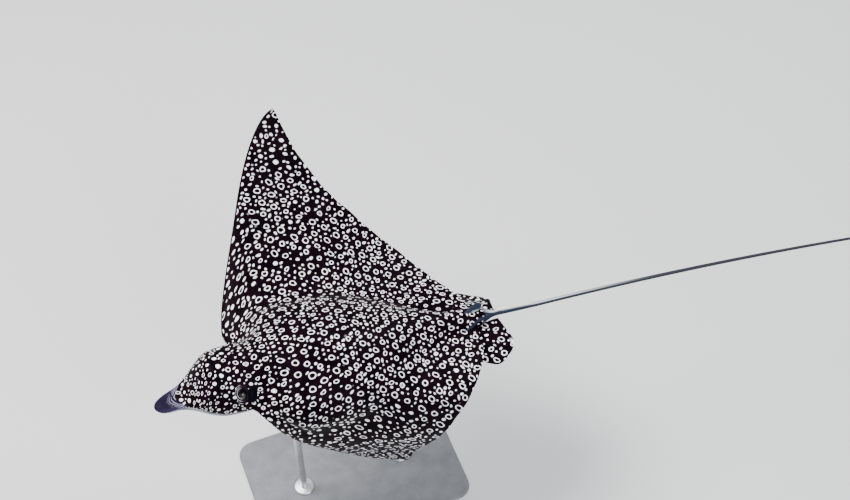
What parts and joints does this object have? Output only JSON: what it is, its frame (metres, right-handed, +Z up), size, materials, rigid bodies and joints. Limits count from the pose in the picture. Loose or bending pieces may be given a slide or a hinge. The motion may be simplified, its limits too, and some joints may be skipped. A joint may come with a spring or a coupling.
{
  "type": "spotted eagle ray",
  "caption": "Life-size still spotted eagle ray, right wing raised and left wing curled down, long whip tail trailing, held up on a flat base by rods.",
  "frame": {"origin": "centre of the underside of the stand's base, on the floor", "axes": "+Z up; the tail points along +Y and the head faces -Y; the ray's left wing is on the +X side"},
  "size_m": [0.941, 3.8781, 1.1399],
  "materials": {
    "hide": "satin, near-black with close white rings and spots above, white below",
    "bill": "satin blue-grey",
    "fin": "satin dark blue-grey",
    "tail": "satin dark grey",
    "sting": "bone-coloured, serrated",
    "eye": "glossy, wet",
    "base_paint": "satin powder coat",
    "rod_steel": "brushed"
  },
  "bodies": {
    "root": {"head": "hide", "snout": "bill", "trunk": "hide", "wing_left": "hide", "wing_right": "hide", "pelvic_fin_left": "hide", "pelvic_fin_right": "hide", "dorsal_fin": "fin", "tail_base": "tail", "tail_middle": "tail", "tail_tip": "tail", "sting_upper": "sting", "sting_lower": "sting", "eye_left": "eye", "eye_right": "eye", "stand_base": "base_paint", "stand_rod_front": "rod_steel", "stand_rod_rear": "rod_steel"}
  },
  "joints": []
}
